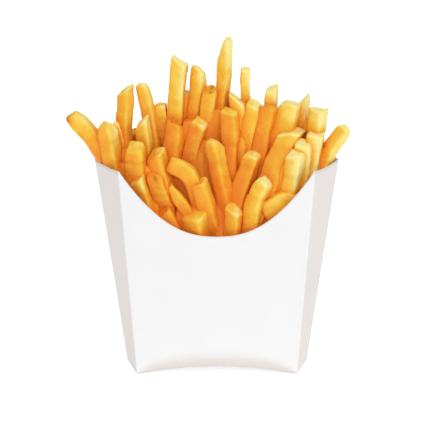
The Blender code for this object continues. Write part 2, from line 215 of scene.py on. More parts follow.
# Each fry: the points it passes, from its tip down, as across and up on the sight
# plane with the depth behind the carton's middle, then its seen width, its roll in
# degrees, how much higher its tip is cut on the right, how far its tip narrows, and
# how dark it is fried
LEFT_FRIES = {
    "leaning_left": (((-72.9, 129.4, -1), (-65.9, 122.4, -1), (-60.4, 116.4, -1), (-55.5, 110.4, -1)),
                     9.3, 12, -1.2, 0.78, 0.46),
    "fat_left": (((-55.8, 125.2, -6), (-54.5, 114.6, -6), (-52.0, 103.0, -6)), 9.9, 35, -0.5, 0.85, 0.4),
    "thin_left": (((-50.4, 125.5, 0), (-47.0, 107.0, -1)), 4.6, 5, -1.0, 0.75, 0.28),
    "upright_left": (((-46.0, 142.3, 4), (-45.5, 126.1, 3), (-45.2, 114.5, 2)), 8.5, 30, 4.8, 1.0, 0.48),
    "bent_left": (((-37.8, 144.7, 7), (-35.0, 133.7, 7), (-32.1, 124.2, 5), (-30.4, 112.0, 4)),
                  7.3, 15, -1.0, 0.8, 0.42),
    "notched_left": (((-37.6, 126.5, 0), (-36.6, 118.4, -1), (-35.2, 108.0, -2)), 7.9, 20, 6.0, 0.95, 0.4),
    "filler_left": (((-28.1, 134.7, 9), (-28.5, 112.0, 7)), 6.8, 0, 1.0, 0.85, 0.5),
    "stub_left": (((-41.0, 113.6, -12), (-40.7, 105.0, -11), (-40.2, 95.0, -10)), 10.2, 8, 0.0, 0.85, 0.66),
    "slant_left": (((-30.6, 110.6, -9), (-28.2, 99.3, -10), (-25.4, 88.0, -10)), 10.2, 30, 3.4, 1.0, 0.6),
    "front_left": (((-40.0, 98.0, -15), (-36.4, 88.8, -14), (-34.0, 81.0, -14)), 8.8, 30, 2.8, 0.98, 0.36),
    "second_left": (((-31.2, 99.8, -14), (-28.3, 89.7, -12), (-25.4, 81.0, -9)), 8.9, 15, -1.0, 0.98, 0.66),
    "thin_diagonal": (((-23.6, 94.0, -14), (-18.7, 86.8, -14), (-14.2, 80.0, -14)), 6.4, 10, 2.0, 0.45, 0.62),
    "orange_stub": (((-26.9, 81.4, -16), (-22.0, 71.0, -16)), 8.8, 5, 3.8, 0.95, 0.85),
    "front_block": (((-11.1, 80.8, -17), (-9.8, 68.0, -16)), 13.2, 32, 1.0, 1.0, 0.56),
    "curved_front": (
        ((-23.6, 105.4, -11), (-20.2, 104.1, -12), (-16.3, 101.7, -13), (-12.5, 96.9, -13),
         (-9.0, 90.0, -11), (-6.5, 80.0, -10)), 9.0, 10, 1.0, 0.95, 0.61),
    "cracked_front": (((-9.4, 96.2, -14), (-7.2, 88.8, -14), (-3.9, 80.6, -13), (-0.9, 70.0, -12)),
                      9.4, 20, 0.5, 0.98, 0.7),
}
MIDDLE_FRIES = {
    "rough_middle": (((-20.4, 125.0, 1), (-21.1, 116.5, -1), (-22.4, 104.5, -3), (-24.4, 93.0, -4)),
                     9.8, 25, -3.5, 0.92, 0.78),
    "pale_end_middle": (((-8.2, 126.2, 1), (-11.1, 116.5, 0), (-14.3, 103.5, -1)), 8.7, 15, -1.6, 1.0, 0.8),
    "tall_left": (((-18.4, 156.8, 10), (-20.2, 145.2, 10), (-21.6, 130.0, 8), (-22.6, 120.0, 8)),
                  8.7, 12, -3.8, 0.98, 0.3),
    "sliver_behind": (((-14.6, 140.9, 14), (-15.0, 122.0, 13)), 7.0, 0, 0.0, 0.85, 0.0),
    "tall_peaked": (((-9.1, 152.6, 12), (-9.8, 141.4, 11), (-10.6, 127.0, 10)), 7.8, 20, -4.2, 0.9, 0.28),
    "crumbled": (((-3.4, 142.0, 8), (-4.4, 135.7, 8), (-6.0, 124.0, 6)), 7.8, 5, 1.0, 0.9, 0.56),
    "tallest": (((4.0, 164.8, 13), (3.5, 155.0, 13), (3.3, 144.3, 12), (1.2, 126.0, 9)),
                7.5, 26, 9.6, 0.95, 0.2),
    "sloped_wedge": (((10.6, 137.4, 7), (10.9, 126.0, 6), (10.9, 110.0, 2)), 8.6, 10, -7.0, 1.0, 0.24),
    "thin_upright": (((14.2, 152.8, 12), (14.3, 132.0, 11)), 5.0, 0, 0.0, 0.95, 0.18),
    "pale_end_right": (((18.9, 135.2, 5), (16.2, 126.5, 4), (14.3, 111.0, 3)), 8.7, 10, -2.0, 0.95, 0.46),
    "upright_right": (((27.4, 143.2, 10), (27.1, 133.7, 10), (26.0, 122.0, 9)), 6.9, 10, 3.2, 0.92, -0.06),
    "orange_right": (((26.2, 133.7, 3), (23.9, 122.3, 1), (20.6, 104.5, -1)), 9.4, 20, 0.0, 0.95, 0.84),
    "crevice": (((-1.6, 133.0, 8), (-2.2, 112.0, 4)), 9.0, 0, 0.0, 0.9, 0.96),
    "broad_middle": (((6.2, 131.6, 0), (6.6, 118.4, -1), (7.3, 96.0, -3)), 9.5, 20, -2.0, 0.92, 0.84),
    "ridged_middle": (((-2.6, 116.6, -7), (0.9, 105.0, -8), (4.7, 91.6, -10), (6.6, 81.0, -10)),
                      9.4, 40, -2.0, 0.85, 0.63),
    "light_end_middle": (((18.1, 110.0, -6), (14.8, 98.3, -8), (9.6, 84.0, -10)), 10.0, 20, 0.5, 0.98, 0.68),
}
RIGHT_FRIES = {
    "short_front": (((8.8, 82.6, -17), (7.7, 67.5, -16)), 9.4, 25, -3.2, 1.0, 0.54),
    "dark_gap": (((13.9, 91.0, -11), (12.6, 71.0, -13)), 6.0, 0, 0.0, 0.8, 0.72),
    "bent_front": (((24.2, 96.8, -16), (20.9, 90.7, -16), (18.9, 83.0, -16), (18.1, 68.5, -16)),
                   9.6, 25, -1.0, 0.95, 0.32),
    "across_front": (((24.0, 81.2, -13), (31.0, 84.4, -13), (38.0, 86.4, -13)), 13.6, 15, -2.0, 1.0, 0.34),
    "bright_front": (((39.6, 110.6, -13), (38.7, 101.2, -13), (36.6, 87.0, -12)), 10.4, 30, 1.0, 0.98, 0.04),
    "pale_behind": (((43.2, 115.6, -9), (42.6, 107.0, -9), (41.3, 90.0, -9)), 9.0, 10, -1.0, 1.0, -0.06),
    "great_diagonal": (((37.8, 121.4, -2), (32.9, 110.8, -4), (27.7, 99.3, -7), (24.0, 90.0, -9)),
                       12.2, 15, 5.4, 1.0, 0.44),
    "orange_behind": (((37.2, 135.2, 5), (33.5, 122.3, 4), (29.0, 108.0, 2)), 12.4, 15, 1.5, 0.9, 0.3),
    "horned": (((43.4, 137.8, 8), (43.0, 130.0, 8), (41.0, 117.0, 6)), 6.4, 20, 7.0, 0.8, -0.2),
    "twin_right": (((50.8, 132.6, 0), (50.2, 122.3, -1), (48.0, 111.0, -2), (44.6, 99.0, -3)),
                   9.1, 35, 0.0, 1.0, 0.2),
    "inner_right": (((49.6, 120.6, -5), (48.0, 112.7, -5), (44.8, 100.0, -7)), 8.4, 10, 0.5, 1.0, -0.06),
    "leaning_right": (((64.3, 123.4, -1), (60.4, 115.6, -1), (56.8, 107.9, -2), (51.5, 99.0, -2)),
                      8.3, 30, 0.0, 0.95, 0.22),
}
BACK_FRIES = {
    "back_far_left": (((-51.0, 119.0, 8), (-44.0, 96.0, 10)), 7.0, 20, 1.0, 0.85, 0.5),
    "back_left": (((-43.0, 121.0, 13), (-37.5, 100.0, 14)), 7.4, 10, 2.0, 0.85, 0.9),
    "back_left_inner": (((-33.0, 133.5, 16), (-30.5, 108.0, 16)), 7.6, 25, -2.0, 0.8, 0.35),
    "back_middle_left": (((-20.0, 147.0, 17), (-18.5, 118.0, 16)), 7.0, 10, 2.0, 0.85, 0.5),
    "back_middle": (((-7.5, 141.0, 17), (-5.0, 118.0, 16)), 7.6, 30, 0.0, 0.85, 0.3),
    "back_tall": (((6.0, 139.0, 18), (7.0, 116.0, 16)), 6.8, 5, -2.0, 0.85, 0.45),
    "back_middle_right": (((17.0, 135.0, 17), (15.5, 112.0, 16)), 8.0, 20, 2.0, 0.85, 0.35),
    "back_right_inner": (((29.0, 133.0, 16), (26.5, 108.0, 16)), 7.4, 35, 0.0, 0.8, 0.5),
    "back_right": (((41.0, 128.0, 14), (36.5, 104.0, 15)), 7.2, 10, -2.0, 0.85, 0.3),
    "back_far_right": (((50.5, 120.0, 8), (44.0, 97.0, 10)), 7.0, 25, 0.0, 0.8, 0.4),
}
SHADED_FRIES = {
    "shaded_far_left": (((-47.5, 106.0, -7), (-45.0, 90.0, -9)), 7.0, 20, 0.0, 0.85, 0.6),
    "shaded_left": (((-36.0, 105.0, -8), (-32.5, 84.0, -11)), 8.0, 10, 0.0, 0.85, 0.25),
    "shaded_curve": (((-18.5, 103.0, -4), (-16.0, 80.0, -8)), 9.0, 10, 0.0, 0.85, 0.95),
    "shaded_front_left": (((-17.0, 84.5, -12), (-15.0, 70.0, -13)), 8.0, 15, 0.0, 0.85, 0.7),
    "shaded_middle": (((-8.5, 117.0, 2), (-3.5, 95.0, -3), (0.5, 79.5, -9)), 9.4, 10, 0.0, 0.85, 0.85),
    "shaded_front_right": (((28.0, 84.5, -10), (28.5, 72.0, -12)), 8.0, 20, 0.0, 0.85, 0.75),
    "shaded_right": (((36.0, 112.0, -4), (31.5, 84.0, -9)), 8.0, 10, 0.0, 0.85, 0.7),
    "shaded_high_left": (((-44.0, 113.5, -3), (-41.0, 98.0, -6)), 9.0, 10, 0.0, 0.85, 0.72),
    "shaded_high_middle": (((-13.4, 127.0, 5), (-10.6, 106.0, 0)), 9.6, 10, 0.0, 0.85, 0.75),
    "shaded_far_right": (((31.0, 113.0, 1), (27.5, 96.0, -3)), 9.0, 10, 0.0, 0.85, 0.7),
    "shaded_right_front": (((36.4, 107.0, -10), (31.6, 86.0, -12)), 7.0, 10, 0.0, 0.85, 0.6),
    "shaded_low_right": (((25.4, 79.0, -14), (24.6, 66.0, -15)), 6.5, 10, 0.0, 0.85, 0.75),
    "shaded_slot": (((46.4, 127.0, 4), (44.0, 108.0, 1)), 5.6, 10, 0.0, 0.85, 0.2),
    "shaded_right_side": (((54.0, 108.5, -3), (49.0, 94.0, -5)), 8.0, 10, 0.0, 0.85, 0.72),
}

# How a fry ends, where it isn't cut plainly: how much lower the cut lies towards the
# viewer, how much its middle stands up, how rough it is and how far it is rounded
PLAIN_END = (1.6, 0.3, 0.3, 1.0)
# How pale the cut end is beside the skin, where that isn't 1, which is the plain case
END_PALENESS = {
    "curved_front": -0.9, "across_front": -0.5, "second_left": -0.4, "leaning_left": -0.3,
    "orange_stub": -0.2, "fat_left": -0.2, "crevice": 0.0, "rough_middle": 0.0, "front_block": 0.1,
    "orange_right": 0.2, "crumbled": 0.3, "front_left": 0.3, "slant_left": 0.4, "stub_left": 0.5,
    "light_end_middle": 1.4, "broad_middle": 1.4, "pale_end_middle": 2.0, "great_diagonal": 2.2,
}
FRY_ENDS = {
    "leaning_left": (0.5, 0.6, 0.3, 0.7),
    "fat_left": (1.0, 0.9, 0.3, 2.6),
    "upright_left": (0.5, 0.0, 0.2, 0.6),
    "bent_left": (0.5, 0.8, 0.3, 1.2),
    "notched_left": (1.0, 0.3, 0.4, 0.8),
    "stub_left": (4.6, 0.8, 0.5, 1.7),
    "slant_left": (2.0, 0.5, 0.4, 0.7),
    "front_left": (1.6, 0.2, 0.4, 0.7),
    "second_left": (2.8, 0.2, 0.5, 1.0),
    "front_block": (2.4, 0.6, 0.4, 1.2),
    "curved_front": (0.0, 0.4, 0.5, 1.2),
    "cracked_front": (1.0, 0.4, 0.6, 1.0),
    "rough_middle": (1.6, 0.4, 2.2, 1.0),
    "pale_end_middle": (3.2, 1.0, 0.2, 1.6),
    "tall_left": (0.5, -0.9, 0.7, 0.5),
    "tall_peaked": (0.5, 0.9, 0.3, 0.2),
    "crumbled": (2.0, 0.4, 2.8, 1.2),
    "sloped_wedge": (1.6, 0.3, 0.3, 0.8),
    "tallest": (0.5, 4.2, 0.2, 0.7),
    "pale_end_right": (3.6, 0.3, 0.3, 1.0),
    "broad_middle": (2.2, 0.2, 0.4, 1.0),
    "ridged_middle": (1.0, 1.4, 0.3, 2.4),
    "light_end_middle": (3.0, 0.6, 0.4, 1.6),
    "short_front": (2.4, 0.4, 0.4, 0.8),
    "bent_front": (1.6, 1.6, 0.5, 2.6),
    "across_front": (0.0, 1.2, 0.4, 1.6),
    "bright_front": (2.0, 1.4, 0.4, 2.2),
    "pale_behind": (2.4, 0.6, 0.3, 1.4),
    "great_diagonal": (3.4, 1.2, 0.3, 0.9),
    "orange_behind": (1.0, 1.2, 0.3, 1.4),
    "horned": (0.5, -0.8, 0.2, 0.4),
    "twin_right": (0.5, -0.8, 0.9, 0.8),
    "inner_right": (2.4, 0.4, 0.5, 1.0),
    "leaning_right": (0.5, 1.0, 0.3, 1.6),
}
# Cracks and waists of a fry: how far below its tip, how deep, and over what length
CRACKS = {
    "bent_front": ((9.0, 0.45, 1.2),),
    "stub_left": ((6.5, 0.5, 1.4),),
    "bright_front": ((13.0, 0.5, 2.5),),
    "twin_right": ((12.0, 0.5, 0.8),),
    "broad_middle": ((17.0, 0.4, 1.2),),
    "fat_left": ((9.0, 0.3, 1.6),),
    "great_diagonal": ((9.0, 0.5, 3.0),),
    "light_end_middle": ((7.0, 0.4, 1.5),),
    "second_left": ((10.0, 0.35, 1.0),),
}
# Dark spots of a fry, the one on leaning_right a painted shade: how far below its tip,
# how far to the right, and over what length
DARK_SPOTS = {
    "second_left": ((0.2, -0.3, 0.9),),
    "leaning_left": ((0.4, -3.6, 1.5),),
    "leaning_right": ((12.5, -4.0, 1.3),),
    "crumbled": ((-0.3, 0.6, 0.9),),
}
# Each group of fries, with the number that its first fry's random form comes from
GROUPS = {
    "fries_left": (LEFT_FRIES, 1),
    "fries_middle": (MIDDLE_FRIES, 101),
    "fries_right": (RIGHT_FRIES, 201),
    "fries_back": (BACK_FRIES, 301),
    "fries_shaded": (SHADED_FRIES, 401),
}
# What each vertex of a fry stores for the material: edges with a painted highlight, pale cut
# ends, doneness with painted shade and light in it, dark spots, and painted crevice shade
LAYERS = ("edge", "tip", "doneness", "dark_spot", "tucked")

# The carton stands beside the middle of the whole, because the heap overhangs to the left
carton_low, carton_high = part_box("carton")
CARTON_OFFSET = (carton_low.x + carton_high.x) / 2 / MM


def blend(start, end, share):
    return start + (end - start) * share


def smooth(share):
    share = min(1.0, max(0.0, share))
    return share * share * (3 - 2 * share)


def add_piece(name, form, materials, replaced):
    """Make a piece of a bmesh that is drawn in millimetres about the carton's middle."""
    form.transform(Matrix.Scale(MM, 4) @ Matrix.Translation((CARTON_OFFSET, 0, 0)))
    mesh = bpy.data.meshes.new(name)
    form.to_mesh(mesh)
    form.free()
    for material in materials:
        mesh.materials.append(material)
    mesh.shade_smooth()
    piece = bpy.data.objects.new(name, mesh)
    bpy.context.scene.collection.objects.link(piece)
    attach(piece, "root")
    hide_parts(replaced)
    return piece


# The carton's sheet is drawn as straight rulings from its foot to its rim. Across is
# how far a ruling lies from the middle of its panel, 0 in the middle to 1 at the fold
Ruling = namedtuple("Ruling", ("foot", "head", "front_rim", "back_rim", "across"))


def facet_ruling(side, share):
    foot = Vector((side * blend(FOOT_SIDE, FOOT_HALF_WIDTH, share), FOOT_HALF_DEPTH * share,
                   FOOT_SIDE_LIFT * (1 - share)))
    head = Vector((side * blend(RIM_SIDE, RIM_HALF_WIDTH, share), RIM_HALF_DEPTH * share, RIM_HEIGHT))
    dip = FACET_DIP * 4 * share * (1 - share)
    front_rim = blend(SIDE_HEIGHT, RIM_HEIGHT, share) - dip
    back_rim = blend(SIDE_HEIGHT, RIM_HEIGHT, share)
    return Ruling(foot, head, front_rim, back_rim, 1.0)


def panel_ruling(across):
    foot = Vector((FOOT_HALF_WIDTH * across, FOOT_HALF_DEPTH, VAULT_RISE * (1 - across**2)))
    head = Vector((RIM_HALF_WIDTH * across, RIM_HALF_DEPTH, RIM_HEIGHT))
    front_rim = blend(SCOOP_LOW, RIM_HEIGHT, abs(across) ** SCOOP_POWER)
    back_rim = RIM_HEIGHT + CROWN_RISE * (1 - across**2)
    return Ruling(foot, head, front_rim, back_rim, abs(across))


def rounded_fold(before, corner, after):
    """Rulings that round a fold, between the last ruling before it and the first after."""
    fold = []
    for i in range(1, FOLD_STEPS):
        t = i / FOLD_STEPS
        shares = ((1 - t) ** 2, 2 * t * (1 - t), t * t)
        fold.append(Ruling(*(sum((second * shares[1], third * shares[2]), first * shares[0])
                             for first, second, third in zip(before, corner, after))))
    return fold


def mirrored(ruling):
    """The same ruling on the other side of the side edge, for rounding that edge."""
    turned = Vector((1, -1, 1))
    return ruling._replace(foot=ruling.foot * turned, head=ruling.head * turned)


def half_section():
    """The rulings from the left side edge over the front to the right side edge."""
    facet_room = FOLD_RADIUS / (Vector((FOOT_SIDE - FOOT_HALF_WIDTH, FOOT_HALF_DEPTH)).length)
    panel_room = FOLD_RADIUS / FOOT_HALF_WIDTH
    shares = [blend(facet_room, 1 - facet_room, i / FACET_STEPS) for i in range(FACET_STEPS + 1)]
    acrosses = [blend(panel_room - 1, 1 - panel_room, i / PANEL_STEPS) for i in range(PANEL_STEPS + 1)]
    left = [facet_ruling(-1, share) for share in shares]
    panel = [panel_ruling(across) for across in acrosses]
    right = [facet_ruling(1, share) for share in reversed(shares)]
    left_fold = rounded_fold(left[-1], facet_ruling(-1, 1.0), panel[0])
    right_fold = rounded_fold(panel[-1], facet_ruling(1, 1.0), right[0])
    left_edge = rounded_fold(mirrored(left[0]), facet_ruling(-1, 0.0), left[0])[FOLD_STEPS // 2 - 1:]
    right_edge = rounded_fold(right[-1], facet_ruling(1, 0.0), mirrored(right[-1]))[:FOLD_STEPS // 2]
    return left_edge + left + left_fold + panel + right_fold + right + right_edge


def bow(across, height):
    """How far a panel stands out between its folds, least at its tucked-in foot."""
    share = height / RIM_HEIGHT
    swell = sin(pi * (BULGE_START + BULGE_RUN * share)) * (1 - exp(-height / TUCK_HEIGHT))
    return BULGE * (1 - across**2) * swell


def sheet_point(ruling, facing, height):
    foot, across = ruling.foot, ruling.across
    point = foot.lerp(ruling.head, height / RIM_HEIGHT)
    point.z = height
    lap = LAP_RISE if facing > 0 and foot.x < LAP_PLACE * FOOT_HALF_WIDTH and across < 1 else 0.0
    lap *= smooth(LAP_SLOPE * (1 - across))
    point.y = facing * (point.y + bow(across, max(0.0, height - foot.z)) + lap)
    wave = noise.noise(Vector((point.x * WAVES_ACROSS, facing * WAVES_APART, point.z * WAVES_UP)))
    point.y += facing * WAVE * wave * (1 - across**2)
    return point


def sheet_rows(form, rulings, facing):
    """The vertices of the front or the back, one list for each ruling, foot to rim."""
    fold, facet = form.verts.layers.float["fold"], form.verts.layers.float["facet"]
    folds = [(FOOT_SIDE, 0.0), (FOOT_HALF_WIDTH, FOOT_HALF_DEPTH)]
    shares = [(k / LEVEL_STEPS) ** LEVEL_CROWDING for k in range(LEVEL_STEPS + 1)]
    rows = []
    for ruling in rulings:
        foot = ruling.foot
        top = ruling.front_rim if facing < 0 else ruling.back_rim
        heights = [blend(foot.z, top, share) for share in shares]
        row = [form.verts.new(sheet_point(ruling, facing, height)) for height in heights]
        nearest = min(abs(abs(foot.x) - x) + abs(foot.y - y) for x, y in folds)
        lens = LENS_HEIGHT * max(0.0, 1 - ruling.across**LENS_POWER) + LEAST_LENS
        # Each vertex gets the painted highlight of a nearby fold and the painted shade of a facet or of the
        # tucked-in foot
        turned = smooth((abs(foot.x) - FOOT_HALF_WIDTH) / FOLD_RADIUS + 0.5)
        for vert, height in zip(row, heights):
            vert[fold] = max(0.0, 1 - nearest / FOLD_RADIUS)
            vert[facet] = max(turned, LENS_SHADE * (1 - smooth((height - foot.z) / lens)))
        rows.append(row)
    return rows


def bottom_rows(form, rulings, front, back):
    """The bottom's vertices from front to back, where the outer flap laps under the inner."""
    rows = []
    for ruling, front_row, back_row in zip(rulings, front, back):
        start, end = front_row[0].co, back_row[0].co
        depth = (end.y - start.y) / 2
        edge = FLAP_REACH * cos(ruling.across * pi / 2) ** 0.5 / FOOT_HALF_DEPTH
        row = [front_row[0]]
        for k in range(1, BOTTOM_STEPS):
            side = 2 * k / BOTTOM_STEPS - 1
            share = blend(-1, edge, side + 1) if side <= 0 else blend(edge, 1, side)
            lift = BOARD * smooth(depth / FLAP_FADE) if side > 0 else 0.0
            lift *= min(1.0, FLAP_SLOPE * (1 - abs(share)))
            row.append(form.verts.new((blend(start.x, end.x, (share + 1) / 2),
                                       share * depth + (start.y + end.y) / 2, start.z + lift)))
        rows.append(row + [back_row[0]])
    return rows


def make_carton(outside, inside, cut_edge):
    form = bmesh.new()
    for layer in ("fold", "facet"):
        form.verts.layers.float.new(layer)
    rulings = half_section()
    front = sheet_rows(form, rulings, -1)
    back = sheet_rows(form, rulings, 1)
    bottom = bottom_rows(form, rulings, front, back)
    for i in range(len(rulings) - 1):
        for j in range(LEVEL_STEPS):
            form.faces.new((front[i][j], front[i + 1][j], front[i + 1][j + 1], front[i][j + 1]))
            form.faces.new((back[i + 1][j], back[i][j], back[i][j + 1], back[i + 1][j + 1]))
        for j in range(BOTTOM_STEPS):
            form.faces.new((bottom[i][j], bottom[i][j + 1], bottom[i + 1][j + 1], bottom[i + 1][j]))
    bmesh.ops.remove_doubles(form, verts=form.verts, dist=DOUBLES_WITHIN)
    carton = add_piece("folded_carton", form, (outside, inside, cut_edge), "carton")
    board = carton.modifiers.new("Board", "SOLIDIFY")
    board.thickness = BOARD * MM
    board.offset = -1.0
    board.use_even_offset = True
    board.material_offset = 1
    board.material_offset_rim = 2


# The fries


def eye_over(front_foot):
    """The eye's place, from the middle of the carton's front foot."""
    return front_foot + RIGHT * EYE_ACROSS + UPWARD * EYE_UP - SIGHT * EYE_DISTANCE


def seen_at(across, up, depth):
    """The point at a depth that shows at a place on the sight plane through the front foot."""
    front_foot = Vector((0, -FOOT_HALF_DEPTH, 0))
    eye = eye_over(front_foot)
    ray = front_foot + RIGHT * across + UPWARD * up - eye
    return eye + ray * ((depth - eye.y) / ray.y)


def wall_above(point):
    """How high the carton's wall stands beside a point in it."""
    if abs(point.x) > RIM_HALF_WIDTH:
        return RIM_HEIGHT
    if point.y > 0:
        return RIM_HEIGHT + CROWN_RISE * (1 - (point.x / RIM_HALF_WIDTH) ** 2)
    return blend(SCOOP_LOW, RIM_HEIGHT, (abs(point.x) / RIM_HALF_WIDTH) ** SCOOP_POWER)


def kept_inside(point, room):
    """Move a point of a fry's middle line so that the fry clears the carton's walls."""
    if point.z > wall_above(point) + room:
        return point
    share = point.z / RIM_HEIGHT
    corner = blend(FOOT_HALF_WIDTH, RIM_HALF_WIDTH, share)
    side = blend(FOOT_SIDE, RIM_SIDE, share)
    half_depth = blend(FOOT_HALF_DEPTH, RIM_HALF_DEPTH, share) - BOARD
    bowed = BOW_FILLED * bow(min(1.0, abs(point.x) / corner), point.z)
    depth_limit = half_depth + bowed - room
    depth = max(-depth_limit, min(depth_limit, point.y))
    side_limit = blend(side, corner, min(1.0, abs(depth) / half_depth)) - BOARD - SIDE_ROOM * room
    return Vector((max(-side_limit, min(side_limit, point.x)), depth, point.z))


def along(line, lengths, spot):
    """The point at a length along a line, rounded at its inner points."""
    i = next((k for k in range(len(line) - 2) if spot < lengths[k + 1]), len(line) - 2)
    span = lengths[i + 1] - lengths[i]
    t = (spot - lengths[i]) / span
    before, after = line[max(0, i - 1)], line[min(len(line) - 1, i + 2)]
    slope_in = (line[i + 1] - before) * (0.5 if i > 0 else 1.0)
    slope_out = (after - line[i]) * (0.5 if i < len(line) - 2 else 1.0)
    return (line[i] * (2 * t**3 - 3 * t**2 + 1) + slope_in * (t**3 - 2 * t**2 + t)
            + line[i + 1] * (-2 * t**3 + 3 * t**2) + slope_out * (t**3 - t**2))


def measured(line):
    lengths = [0.0]
    for start, end in zip(line, line[1:]):
        lengths.append(lengths[-1] + (end - start).length)
    return lengths


def middle_line(points, room):
    """A fry's middle line from its tip down to its end in the core, kept off the walls."""
    line = [seen_at(*point) for point in points]
    run = line[-1] - line[-2]
    sink = max(0.0, line[-1].z - FOOT_END)
    if run.z < -LEVEL_SLOPE * run.length:
        line.append(line[-1] + run * (sink / -run.z))
    else:
        last = line[-1]
        line.append(Vector((last.x, last.y + LEVEL_DEPTH, last.z - sink * LEVEL_SINK)))
    lengths = measured(line)
    stations = max(FEWEST_STATIONS, round(lengths[-1] / STATION_SPACING) + len(points) - 2)
    spots = [lengths[-1] * i / stations for i in range(stations + 1)]
    return [kept_inside(along(line, lengths, spot), room) for spot in spots]


def square_section(softness):
    """Places round a square stick with rounded corners, closer together at the corners."""
    places = []
    for face in range(4):
        for k in range(SIDES_PER_FACE):
            share = smooth(k / SIDES_PER_FACE) * 2 - 1
            angle = pi / 2 * face + share * pi / 4
            c, s = cos(angle), sin(angle)
            power = ROUND_POWER + SHARPER_POWER * (1 - softness)
            radius = 1 / (abs(c) ** power + abs(s) ** power) ** (1 / power)
            places.append((radius * c, radius * s, abs(share), face))
    return places


def ring_spots(line, lengths):
    """Where the rings lie along a fry: close together where it shows, wide apart in the core."""
    spots = list(END_SPOTS)
    while spots[-1] < lengths[-1] - RING_SPACING:
        hidden = along(line, lengths, spots[-1]).z < HIDDEN_BELOW
        spots.append(spots[-1] + (HIDDEN_RING_SPACING if hidden else RING_SPACING))
    spots[-1] = lengths[-1]
    return spots


def crack_depth(name, spot, place):
    """How far a crack or a waist cuts in at a length below the fry's tip."""
    depth = 0.0
    for crack_spot, deepest, run in CRACKS.get(name, ()):
        off = (spot - crack_spot - CRACK_WANDER * noise.noise(place * CRACK_GRAIN)) / run
        depth += deepest * exp(-off * off)
    return depth


def dark_spot_share(name, spot, across):
    """How much a fry's dark spots darken it at a length below its tip and a distance to the right."""
    share = 0.0
    for down, aside, run in DARK_SPOTS.get(name, ()):
        share += exp(-((spot - down) ** 2 + (across - aside) ** 2) / run**2)
    return share


def rounded_end(spot, rounding, half):
    """How much of its width a fry has at a length below its rounded end."""
    if spot >= rounding:
        return 1.0
    least = max(LEAST_END, 1 - rounding / half)
    return blend(least, 1.0, (1 - (1 - spot / rounding) ** 2) ** 0.5)


class Fry:
    """One fry: its middle line from the tip down, its section and how its end is cut."""

    def __init__(self, name, seed, points, seen_width, roll, slant, tip_width, doneness):
        self.name, self.slant, self.tip_width, self.doneness = name, slant, tip_width, doneness
        self.facing, self.crown, self.roughness, self.rounding = FRY_ENDS.get(name, PLAIN_END)
        self.paleness = 0.0 if name.startswith("shaded") else END_PALENESS.get(name, 1.0)
        generator = np.random.default_rng(seed)
        softness, self.twist, self.hollow = generator.uniform(LEAST_FORM, MOST_FORM)
        self.face_tones = generator.uniform(-FACE_TONE, FACE_TONE, 4)
        self.section = square_section(softness)
        self.turn = radians(roll)
        reach = max(x * cos(self.turn) - y * sin(self.turn) for x, y, _, _ in self.section)
        self.half = seen_width / reach / 2
        self.line = middle_line(points, seen_width / 2 + WALL_GAP)
        self.lengths = measured(self.line)
        self.offset = Vector([seed * step for step in NOISE_STEPS])

    def directions(self, spot):
        """Upwards along the fry at a length below its tip, then to its right and to its back."""
        ahead = along(self.line, self.lengths, min(self.lengths[-1], spot + 1.0))
        behind = along(self.line, self.lengths, max(0.0, spot - 1.0))
        upward = (behind - ahead).normalized()
        beside = SIGHT.cross(upward).normalized()
        return upward, beside, upward.cross(beside)

    def width(self, spot):
        """The share of its full width that the fry has at a length below its tip."""
        taper = smooth(spot / (TAPER_RUN / self.tip_width + 1.0))
        width = blend(self.tip_width, 1.0, taper) * rounded_end(spot, self.rounding, self.half)
        return width * (1 + THICKENING * noise.noise(self.offset + Vector((0, 0, spot * THICKENINGS))))

    def bend(self, spot):
        """How far the fry bends to its right at a length below its tip."""
        wander = noise.noise(self.offset + Vector((spot * BENDS, 9.0, 0)))
        return BEND * wander * smooth(spot / BEND_RUN)

    def cut(self, across, out):
        """How much higher the cut end stands at a share to the right and to the front."""
        return self.slant * across / 2 - self.facing * out / 2 + self.crown * (0.5 - across * across)

    def cut_run(self):
        """Over what length below the tip the slopes of the cut fade."""
        slopes = SLOPE_RUN * abs(self.slant) + SLOPE_RUN * self.facing
        return CUT_RUN + slopes + CROWN_RUN * abs(self.crown)

    def tones(self, spot, across, corner, face, crack):
        """The values of LAYERS at a place of the skin, but for the last."""
        end_run = max(PALE_RUN, self.rounding) if self.paleness > 0 else BROWN_RUN
        # Painted shade deeper towards the foot and in cracks, painted light paler to the right
        deeper = FOOT_SHADE * smooth(spot / FOOT_SHADE_RUN)
        tone = self.face_tones[face] * (1 - corner) - SIDE_LIGHT_TONE * across
        return (corner**3, self.paleness * (1 - smooth(spot / end_run)),
                self.doneness + deeper + tone + CRACK_SHADE * crack,
                dark_spot_share(self.name, spot, across * self.half))


def draw_ring(form, layers, fry, spot):
    """The skin's vertices round a fry at a length below its tip."""
    upward, beside, backward = fry.directions(spot)
    centre = along(fry.line, fry.lengths, spot) + beside * fry.bend(spot)
    angle = fry.turn + fry.twist * (spot / TWIST_RUN)
    size = fry.width(spot)
    fade = 1 - smooth(spot / fry.cut_run())
    ring = []
    for x, y, corner, face in fry.section:
        x, y = x * fry.half * size, y * fry.half * size
        across = (x * cos(angle) - y * sin(angle)) / fry.half
        out = (x * sin(angle) + y * cos(angle)) / fry.half
        place = centre + beside * across * fry.half - backward * out * fry.half
        shift = fry.cut(across, out) + fry.roughness * noise.noise((place + fry.offset) * CUT_GRAIN)
        place += upward * shift * fade
        spread = (place - centre - upward * shift * fade).normalized()
        crack = crack_depth(fry.name, spot, place + fry.offset)
        place += spread * (relief(place + fry.offset, corner, fry.half * fry.hollow) - crack)
        vert = form.verts.new(place)
        for layer, value in zip(layers, fry.tones(spot, across, corner, face, crack)):
            vert[layer] = value
        ring.append(vert)
    return ring


